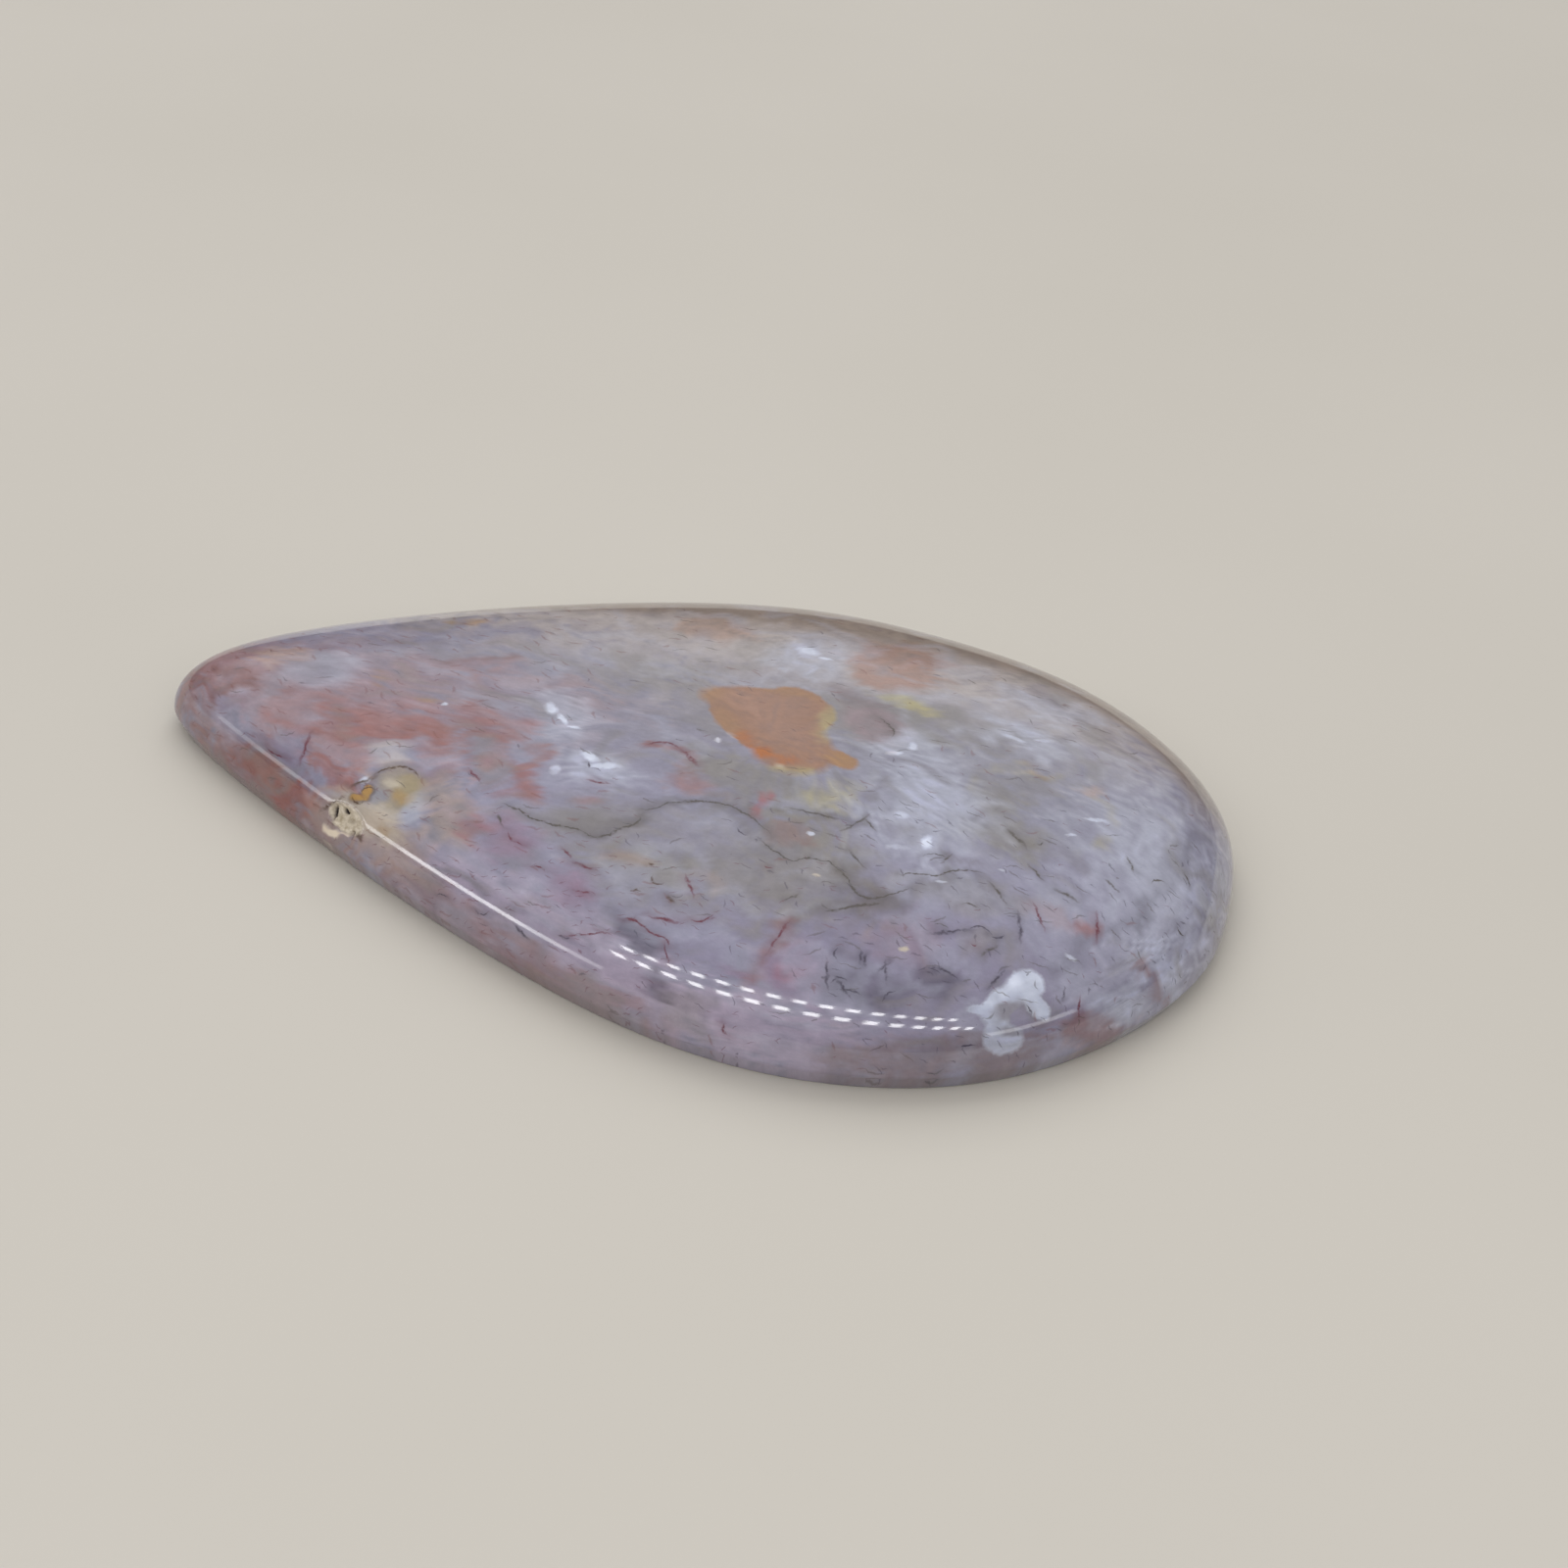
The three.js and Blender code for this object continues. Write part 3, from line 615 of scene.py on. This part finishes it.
class Shader:
    """Adds shader nodes and links them. Each method returns the output of the node that it adds."""

    def __init__(self, tree):
        self.tree = tree
        tree.nodes.clear()

    def add(self, kind, inputs, output=0, **settings):
        node = self.tree.nodes.new(kind)
        for name, value in settings.items():
            setattr(node, name, value)
        for socket, value in inputs.items():
            if isinstance(value, bpy.types.NodeSocket):
                self.tree.links.new(value, node.inputs[socket])
            else:
                node.inputs[socket].default_value = value
        return node.outputs[output] if node.outputs else None

    def math(self, operation, *values):
        return self.add("ShaderNodeMath", dict(enumerate(values)), operation=operation)

    def linear(self, value, slope, offset):
        return self.math("MULTIPLY_ADD", value, slope, offset)

    def vector(self, operation, *values, output=0):
        return self.add("ShaderNodeVectorMath", dict(enumerate(values)), output, operation=operation)

    def step(self, value, low, high):
        """Rises from 0 at low to 1 at high. Low may be the larger value."""
        risen = self.linear(value, 1 / (high - low), -low / (high - low))
        return self.math("MINIMUM", self.math("MAXIMUM", risen, 0.0), 1.0)

    def noise(self, vector, scale, detail=2.0, roughness=0.5, output=0, dimensions="2D"):
        inputs = {"Vector": vector, "Scale": scale, "Detail": detail, "Roughness": roughness}
        return self.add("ShaderNodeTexNoise", inputs, output, noise_dimensions=dimensions)

    def mix(self, factor, first, second, blend="MIX"):
        inputs = {0: factor, 6: first, 7: second}
        return self.add("ShaderNodeMix", inputs, 2, data_type="RGBA", blend_type=blend)

    def split(self, vector):
        """The three parts of a vector."""
        first = self.add("ShaderNodeSeparateXYZ", {0: vector})
        return first, self.sibling(first, 1), self.sibling(first, 2)

    def sibling(self, socket, output):
        """Another output of the same node."""
        return socket.node.outputs[output]

    def curve(self, value, points):
        """A smooth course through points, from 0 to 1 each way."""
        socket = self.add("ShaderNodeFloatCurve", {"Value": value})
        course = socket.node.mapping.curves[0]
        for spare, point in zip(course.points, points[:1] + points[-1:]):
            spare.location = point
        for point in points[1:-1]:
            course.points.new(*point)
        socket.node.mapping.update()
        return socket

    def placed(self, vector, x, y, length, width, turn):
        """Coordinates that run from -1 to 1 over an upright box of that place, size and turn."""
        box = {"Location": (x, y, 0), "Rotation": (0, 0, math.radians(turn)), "Scale": (length, width, 1)}
        return self.add("ShaderNodeMapping", {"Vector": vector} | box, vector_type="TEXTURE")


def ellipse(shader, turned, x, y, length, width, turn):
    """How far a place lies from the middle of an ellipse, where 1 is its edge."""
    turn = round(turn / TURN_STEP) * TURN_STEP % 180
    c, s = math.cos(math.radians(turn)), math.sin(math.radians(turn))
    spot = shader.vector("MULTIPLY", turned[turn], (1 / length, 1 / width, 0))
    return shader.vector("DISTANCE", spot, ((x * c + y * s) / length, (y * c - x * s) / width, 0), output=1)


def nearest_ellipse(shader, _, turned, rows, joint):
    """How far a place lies from the nearest of a table of ellipses, which run together over a joint."""
    nearest = 9.0
    for row in rows:
        nearest = shader.math("SMOOTH_MIN", nearest, ellipse(shader, turned, *row), joint)
    return nearest


def bow_of(points):
    """The chord and half length of a three-point stroke, its side direction and its bow to that side."""
    start, middle, end = (Vector(point) for point in points)
    chord = end - start
    side = Vector((-chord.y, chord.x)).normalized()
    return chord, chord.length / 2, side, (middle - (start + end) / 2).dot(side)


def arc(shader, where, width, points):
    """How far a place lies from a bowed stroke through three points, where 1 is its border."""
    chord, half, side, bow = bow_of(points)
    radius = (half**2 + bow**2) / (2 * bow)
    top = (Vector(points[0]) + Vector(points[2])) / 2 + side * bow
    centre = top - side * radius
    reach = shader.vector("DISTANCE", where, (*centre, 0), output=1)
    tight = 2 / width
    off = shader.math("ABSOLUTE", shader.linear(reach, tight, -abs(radius) * tight))
    along = shader.vector("DISTANCE", where, (*top, 0), output=1)
    squared = shader.math("MULTIPLY", along, along)
    return shader.linear(squared, 1 / (half**2 + bow**2), off)


def dash(shader, turned, width, points):
    """The same for a nearly straight stroke, which is drawn as a thin ellipse."""
    chord, half, side, bow = bow_of(points)
    middle = (Vector(points[0]) + Vector(points[2])) / 2 + side * bow / 2
    turn = math.degrees(math.atan2(chord.y, chord.x))
    return ellipse(shader, turned, *middle, half * 1.15, width * 0.6, turn)


def strand(shader, where, width, points):
    """The same for a long thread through any number of points."""
    start, end = Vector(points[0]), Vector(points[-1])
    chord = end - start
    side = Vector((-chord.y, chord.x))
    corner = start - side / 2
    turn = math.degrees(math.atan2(chord.y, chord.x))
    spot = shader.placed(where, corner.x, corner.y, chord.length, chord.length, turn)
    along, across, _ = shader.split(spot)
    offsets = [Vector(point) - corner for point in points]
    course = [(offset.dot(chord) / chord.length_squared, offset.dot(side) / chord.length_squared)
              for offset in offsets]
    off = shader.math("ABSOLUTE", shader.math("SUBTRACT", across, shader.curve(along, course)))
    ends = shader.math("POWER", shader.linear(along, 2, -1), 8)
    return shader.linear(off, 2 * chord.length / width, ends)


def threads(shader, where, turned, rows):
    """How far a place lies from the nearest of a table of threads, where 1 is its border."""
    nearest = 2.0
    for width, points in sorted(strokes(rows), key=lambda stroke: len(stroke[1]) > 3):
        if len(points) > 3:
            share = strand(shader, where, width, points)
        elif abs(bow_of(points)[3]) > DASH_BOW * bow_of(points)[1]:
            share = arc(shader, where, width, points)
        else:
            share = dash(shader, turned, width, points)
        nearest = shader.math("MINIMUM", nearest, share)
    return nearest


def table_group(shader, name, where, turned, build):
    """A node group for a table of shapes, built from coordinates and their turned copies."""
    inputs = {"Where": where} | {f"Turned {turn}": socket for turn, socket in turned.items()}
    tree = bpy.data.node_groups.new(name, "ShaderNodeTree")
    inner = Shader(tree)
    for label in inputs:
        tree.interface.new_socket(label, in_out="INPUT", socket_type="NodeSocketVector")
    place, *turns = tree.nodes.new("NodeGroupInput").outputs[: len(inputs)]
    result = build(inner, place, dict(zip(turned, turns)))
    tree.interface.new_socket("Result", in_out="OUTPUT", socket_type="NodeSocketFloat")
    tree.links.new(result, tree.nodes.new("NodeGroupOutput").inputs[0])
    return shader.add("ShaderNodeGroup", inputs, node_tree=tree)


def fibres(shader, where, turn, length, width, share, swing=2.2):
    """Mask of many short bowed fibres, one at a random place and turn in each cell of a loose grid."""
    grid = shader.placed(where, 0, 0, length, length * 0.6, turn)
    cells = {"Vector": grid, "Scale": 1.0, "Randomness": 1.0}
    cell = shader.add("ShaderNodeTexVoronoi", cells, "Position", voronoi_dimensions="2D")
    luck, spin, bow = shader.split(shader.sibling(cell, "Color"))
    offset = shader.vector("SUBTRACT", grid, cell)
    angle = shader.linear(spin, swing, -swing / 2)
    swung = {"Vector": offset, "Angle": angle}
    rotated = shader.add("ShaderNodeVectorRotate", swung, rotation_type="Z_AXIS")
    along, across, _ = shader.split(rotated)
    reach = shader.math("MULTIPLY", along, 2.6)
    squared = shader.math("MULTIPLY", reach, reach)
    bend = shader.linear(bow, 0.36, -0.18)
    off = shader.math("ABSOLUTE", shader.linear(squared, bend, across))
    spread = shader.linear(off, length * 1.2 / width, squared)
    present = shader.math("LESS_THAN", luck, share)
    return shader.math("MULTIPLY", shader.step(spread, 1.1, 0.3), present)


def wandered(shader, where, amount, scale, detail):
    """Coordinates pushed about by a noise, so that shapes drawn in them get a natural edge."""
    push = shader.vector("SUBTRACT", shader.noise(where, scale, detail, output=1), (0.5, 0.5, 0.5))
    return shader.vector("ADD", where, shader.vector("MULTIPLY", push, (amount, amount, 0)))


def layer(shader, name, output="Color"):
    """A value that the mesh stores at its points."""
    return shader.add("ShaderNodeAttribute", {}, output, attribute_name=name)


def agate_colour(shader, where, back):
    """The stone's colour: the stored colours, with crisp patches, flecks, fibres and threads over them."""
    crisp = wandered(shader, where, 0.26, 1.6, 2)
    crisp = wandered(shader, crisp, 0.10, 7.0, 2)
    turned = {turn: shader.placed(crisp, 0, 0, 1, 1, turn) for turn in range(0, 180, TURN_STEP)}

    def shapes_group(name, rows, joint):
        return table_group(shader, name, crisp, turned, partial(nearest_ellipse, rows=rows, joint=joint))

    shapes = shapes_group("patches", PATCH_SHAPES, 0.3)
    specks = shapes_group("flecks", [row[1:6] for row in FLECKS], 0.0)
    cover = shader.math("MAXIMUM", shader.step(shapes, 1.1, 0.86), shader.step(specks, 1.3, 0.6))
    base = shader.mix(cover, layer(shader, "haze"), layer(shader, "patch"))

    base = fibre_layers(shader, base, where, crisp)
    broken = shader.step(shader.noise(where, 4.0, 2), 0.2, 0.5)
    show = shader.math("MULTIPLY", broken, shader.linear(back, -0.8, 0.95))
    for tint, rows in THREADS.items():
        build = partial(threads, rows=rows)
        off = table_group(shader, tint, crisp, turned, build)
        mask = shader.math("MULTIPLY", shader.step(off, 1.25, 0.25), show)
        base = shader.mix(mask, base, colour(*PALETTE[tint]))
    grain = shader.noise(shader.placed(crisp, 0, 0, 0.3, 0.18, -8), 1.0, 4, 0.7)
    grey = shader.mix(grain, colour(84, 84, 84), colour(172, 172, 172))
    return shader.mix(0.34, base, grey, "OVERLAY")


def fibre_layers(shader, base, where, crisp):
    """Fine random moss: dark on the near right, wine-red in the near middle and rusty towards the tip."""
    x, y, _ = shader.split(where)
    near = shader.step(y, 1.0, -5.0)
    right = shader.step(x, -1.0, 9.0)
    left = shader.step(x, 0.0, -6.0)
    clumps = shader.step(shader.noise(where, 0.6, 2), 0.42, 0.6)
    dark = shader.math("MULTIPLY", shader.math("MULTIPLY", near, right), clumps)
    red = shader.math("MULTIPLY", shader.step(y, -7.0, -10.0), shader.math("SUBTRACT", 1.0, right))
    layers = [
        ("moss", 8, 1.4, 0.09, shader.linear(dark, 0.32, 0.09), 0.5),
        ("soot", -30, 0.8, 0.07, shader.linear(dark, 0.45, 0.04), 0.5),
        ("wine", 5, 0.6, 0.05, shader.linear(red, 0.4, 0.06), 0.45),
        ("rust", -20, 1.1, 0.12, shader.linear(left, 0.35, 0.04), 0.35),
    ]
    for tint, turn, length, width, share, strength in layers:
        mask = shader.math("MULTIPLY", fibres(shader, crisp, turn, length, width, share), strength)
        base = shader.mix(mask, base, colour(*PALETTE[tint]))
    return base


def crust_colour(shader, base, where):
    """The chalky lining of the vug over the stone's own colour, with painted shade, near black, in its
    deeper pits.
    """
    grains = shader.noise(where, 3.0, 4, 0.65, dimensions="3D")
    chalk = shader.mix(shader.step(grains, 0.34, 0.66), colour(156, 143, 120), colour(210, 200, 184))
    # Painted shade: where the pits are deep the lining turns near black, as shade falls in them.
    pit_shade = shader.step(layer(shader, "hollow", "Fac"), 0.14, 0.28)
    chalk = shader.mix(pit_shade, chalk, colour(*PALETTE["ink"]))
    crust = layer(shader, "crust", "Fac")
    cover = shader.step(shader.linear(grains, 0.8, crust), 0.62, 1.0)
    cover = shader.math("MULTIPLY", cover, shader.step(crust, 0.0, 0.2))
    return shader.mix(cover, base, chalk), cover


def new_material(name):
    """An empty node material, and a shader to fill it with."""
    material = bpy.data.materials.new(name)
    material.use_nodes = True
    return material, Shader(material.node_tree)


# How rough the polished top is, and how much rougher the ground back and the vug's crust are.
POLISH = 0.06
BACK_ROUGHER = 0.12
CRUST_ROUGHER = 0.6
IOR = 1.54


def agate_material():
    material, shader = new_material("moss_agate")
    where, back = layer(shader, "skin", "Vector"), layer(shader, "back", "Fac")
    point = shader.add("ShaderNodeTexCoord", {}, "Object")
    place = shader.add("ShaderNodeVectorMath", {0: point, "Scale": 1 / MM}, operation="SCALE")
    tint, crust = crust_colour(shader, agate_colour(shader, where, back), place)
    gloss = shader.linear(crust, CRUST_ROUGHER, POLISH)
    gloss = shader.linear(back, BACK_ROUGHER, gloss)
    relief = shader.math("MULTIPLY", crust, shader.noise(place, 9.0, 4, dimensions="3D"))
    normal = shader.add("ShaderNodeBump", {"Strength": 0.5, "Distance": 0.00008, "Height": relief})
    finish = {"Base Color": tint, "Roughness": gloss, "IOR": IOR, "Normal": normal}
    surface = shader.add("ShaderNodeBsdfPrincipled", finish)
    shader.add("ShaderNodeOutputMaterial", {"Surface": surface})
    return material


def floor_material():
    material, shader = new_material("pale_floor")
    point = shader.add("ShaderNodeTexCoord", {}, "Object")
    cloud = shader.noise(point, 18.0, 3)
    tint = shader.mix(cloud, colour(188, 184, 175), colour(194, 190, 182))
    surface = shader.add("ShaderNodeBsdfPrincipled", {"Base Color": tint, "Roughness": 0.85})
    shader.add("ShaderNodeOutputMaterial", {"Surface": surface})
    return material


def light_material(name, strength):
    material, shader = new_material(name)
    surface = shader.add("ShaderNodeEmission", {"Color": (1, 1, 1, 1), "Strength": strength})
    shader.add("ShaderNodeOutputMaterial", {"Surface": surface})
    return material


def panels(name, places, strength):
    """Small glowing panels, as one stage object. Each has its middle and its two half side vectors."""
    vertices, faces = [], []
    for middle, side, rise in places:
        start = len(vertices)
        vertices += [middle - side - rise, middle + side - rise, middle + side + rise, middle - side + rise]
        faces.append(range(start, start + 4))
    mesh = new_mesh(name, vertices, faces)
    mesh.materials.append(light_material(name, strength))
    panel = add_object(name, mesh)
    panel.visible_camera = False
    panel.visible_shadow = False


def direction(azimuth, elevation):
    """Unit vector from the stone at an azimuth and an elevation in degrees, where azimuth 0 is -Y."""
    a, e = math.radians(azimuth), math.radians(elevation)
    return Vector((math.sin(a) * math.cos(e), -math.cos(a) * math.cos(e), math.sin(e)))


def facing_panel(azimuth, elevation, distance, width, height):
    """A panel square to the line from the stone, with its width level."""
    out = direction(azimuth, elevation)
    side = Vector((0, 0, 1)).cross(out).normalized()
    rise = out.cross(side)
    return out * distance, side * width / 2, rise * height / 2


# The small lamps that the near shoulder mirrors, in metres.
LAMPS_IN_ROW = 15
LAMP_SPACING = 0.045
LAMP_DISTANCE = 0.3
LAMP_HALVES = Vector((0.011, 0, 0)), Vector((0, 0.0095, 0.0095))
LAMP_STRENGTH = 15.0
# The strip that draws a line along it: the azimuth and the strength of each part.
LEFT_STRIP = [(-80, 1.5), (-74, 2.5), (-68, 5.0), (-62, 9.0), (-56, 9.0), (-50, 6.0), (-45, 3.0)]


def build_lights():
    """Two rows of small lamps on the camera's side, a low strip at either side, and a softbox behind."""
    lamps = []
    for start, height in ((-0.295, 0.33), (-0.275, 0.22)):
        for i in range(LAMPS_IN_ROW):
            middle = Vector((start + LAMP_SPACING * i, -LAMP_DISTANCE, height))
            lamps.append((middle, *LAMP_HALVES))
    panels("lamp_rows", lamps, LAMP_STRENGTH)
    for azimuth, strength in LEFT_STRIP:
        panels("low_strip_left", [facing_panel(azimuth, 7, 0.5, 0.06, 0.034)], strength)
    right = [facing_panel(azimuth, 15, 0.5, 0.08, 0.035) for azimuth in (58, 66, 74)]
    panels("low_strip_right", right, 3.0)
    softbox = bpy.data.lights.new("softbox", "AREA")
    softbox.shape = "RECTANGLE"
    softbox.size, softbox.size_y = 0.7, 0.5
    softbox.energy = 2.2
    lamp = add_object("softbox", softbox)
    lamp.visible_glossy = False
    out = direction(-160, 55)
    lamp.location = out * 0.7
    lamp.rotation_mode = "QUATERNION"
    lamp.rotation_quaternion = out.to_track_quat("Z", "Y")


def build_world():
    """A soft studio dome, darker and browner near the horizon, as reflected in the far shoulder."""
    world = bpy.data.worlds.new("studio")
    bpy.context.scene.world = world
    world.use_nodes = True
    shader = Shader(world.node_tree)
    out = shader.add("ShaderNodeTexCoord", {}, "Generated")
    height = shader.add("ShaderNodeSeparateXYZ", {"Vector": out}, 2)
    rising = shader.step(height, 0.33, 0.42)
    tint = shader.mix(rising, colour(96, 80, 68), colour(242, 240, 240))
    tint = shader.mix(shader.step(height, 0.0, -0.1), tint, colour(214, 206, 196))
    seen = shader.add("ShaderNodeLightPath", {}, "Is Camera Ray")
    tint = shader.mix(seen, tint, colour(206, 202, 194))
    surface = shader.add("ShaderNodeBackground", {"Color": tint, "Strength": 0.77})
    shader.add("ShaderNodeOutputWorld", {"Surface": surface})


def build_floor():
    half, height = 3.0, -0.00002
    corners = [(-half, -half, height), (half, -half, height), (half, half, height), (-half, half, height)]
    mesh = new_mesh("floor", corners, [(0, 1, 2, 3)])
    mesh.materials.append(floor_material())
    add_object("floor", mesh)


# The photograph's view, in degrees and millimetres: where the camera stands, its turn and its shift.
CAMERA_AZIMUTH = 8.15
CAMERA_ELEVATION = 33.84
CAMERA_ROLL = 7.11
CAMERA_DISTANCE = 89.8
CAMERA_SIDE = 4.03
CAMERA_RISE = 1.49
CAMERA_LENS = 49.5


def build_camera():
    back = direction(CAMERA_AZIMUTH, CAMERA_ELEVATION)
    level = Vector((0, 0, 1)).cross(back).normalized()
    upright = back.cross(level)
    c, s = math.cos(math.radians(CAMERA_ROLL)), math.sin(math.radians(CAMERA_ROLL))
    right, up = level * c + upright * s, upright * c - level * s
    camera = bpy.data.cameras.new("camera")
    camera.lens = CAMERA_LENS
    camera.clip_start, camera.clip_end = 0.01, 20
    holder = add_object("camera", camera)
    turn = Matrix((right, up, back)).transposed().to_4x4()
    place = (back * CAMERA_DISTANCE + right * CAMERA_SIDE + up * CAMERA_RISE) * MM
    holder.matrix_world = Matrix.Translation(place) @ turn
    bpy.context.scene.camera = holder


build_camera()
build_floor()
build_world()
build_lights()
bpy.context.scene.view_settings.view_transform = "Standard"

stone = build_stone()
stone.data.materials.append(agate_material())
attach(stone, "root")
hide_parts("cabochon")
